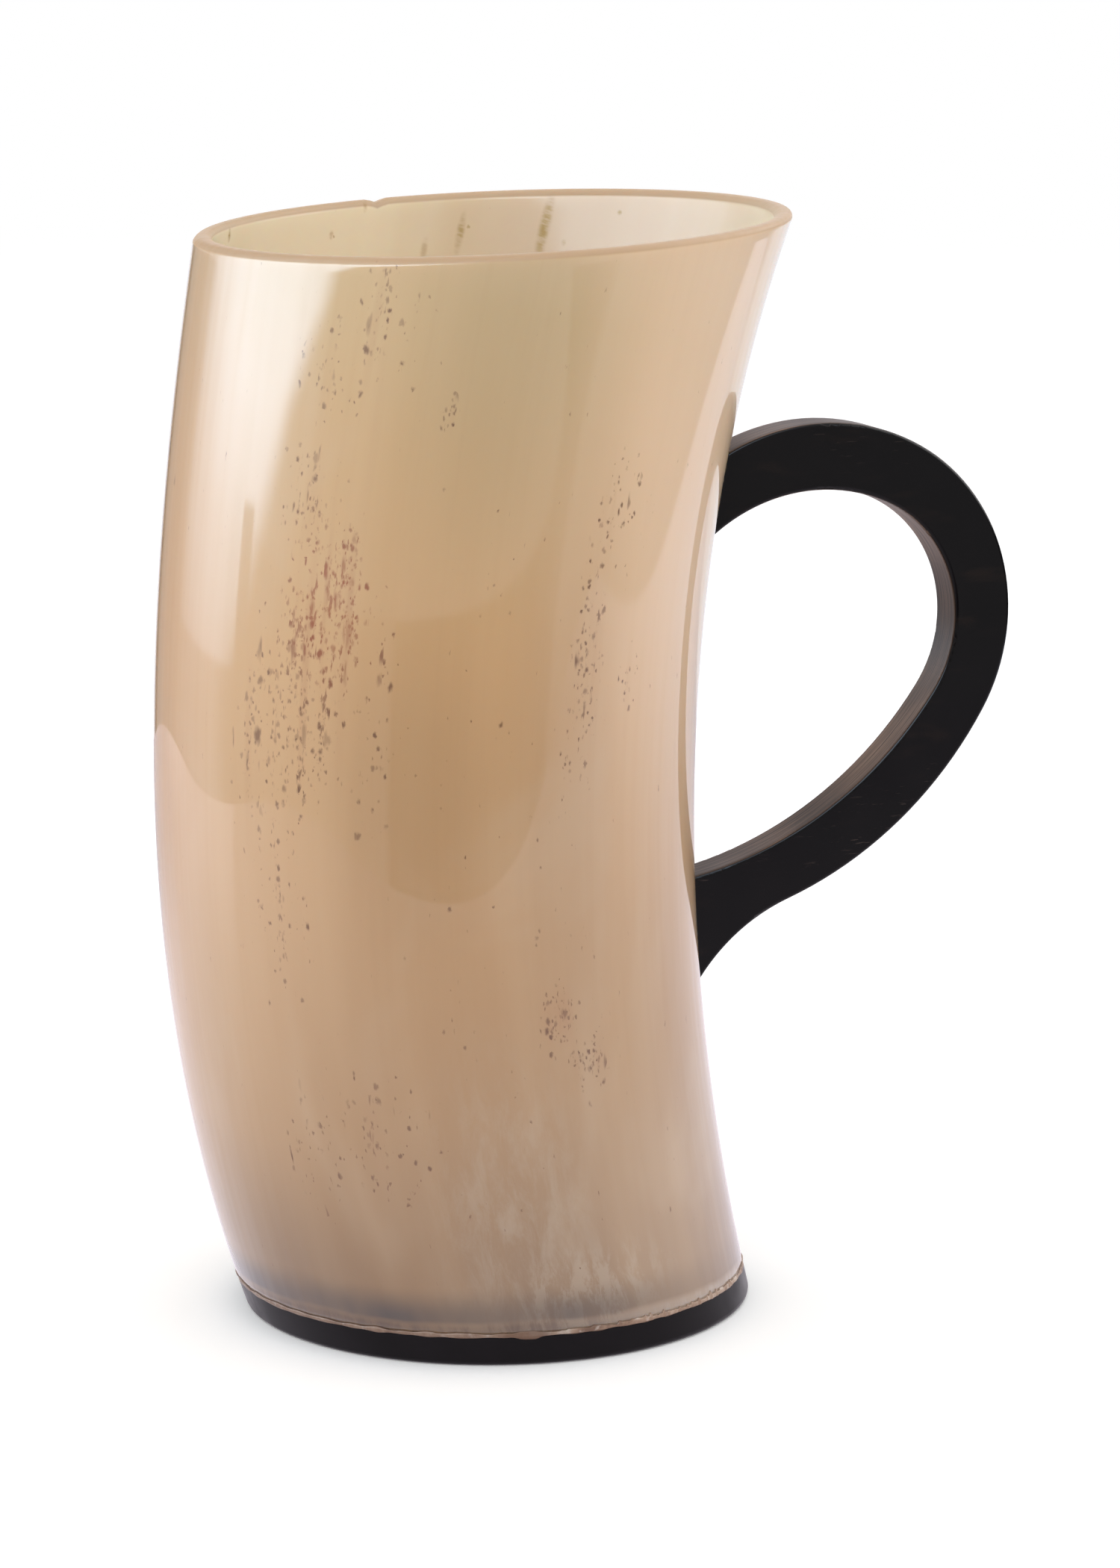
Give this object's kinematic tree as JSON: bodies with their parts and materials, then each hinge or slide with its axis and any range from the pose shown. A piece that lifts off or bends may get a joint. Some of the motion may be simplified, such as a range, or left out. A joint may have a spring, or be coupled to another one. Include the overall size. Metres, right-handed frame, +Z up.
{
  "type": "horn drinking mug",
  "caption": "Curved horn drinking mug with an open lip, a flat round black foot and a flat D-shaped side handle, for holding a drink.",
  "frame": {"origin": "centre of the foot's flat underside, on the table", "axes": "+Z up; +X from the horn towards the handle; the horn bends and the handle lies in the XZ plane, and the horn bulges towards -X"},
  "size_m": [0.1215, 0.0756, 0.1477],
  "materials": {
    "pale_horn": null,
    "black_horn": null,
    "foot_glue": "brownish cured glue line",
    "floor_resin": "clear resin over the dark foot plug, glossy",
    "dowel_wood": "plain turned hardwood pin",
    "handle_glue": "dark cured glue film"
  },
  "bodies": {
    "root": {"horn_shell": "pale_horn", "foot_disc": "black_horn", "foot_glue": "foot_glue", "floor_seal": "floor_resin", "handle": "black_horn", "upper_dowel": "dowel_wood", "lower_dowel": "dowel_wood", "upper_handle_glue": "handle_glue", "lower_handle_glue": "handle_glue"}
  },
  "joints": []
}
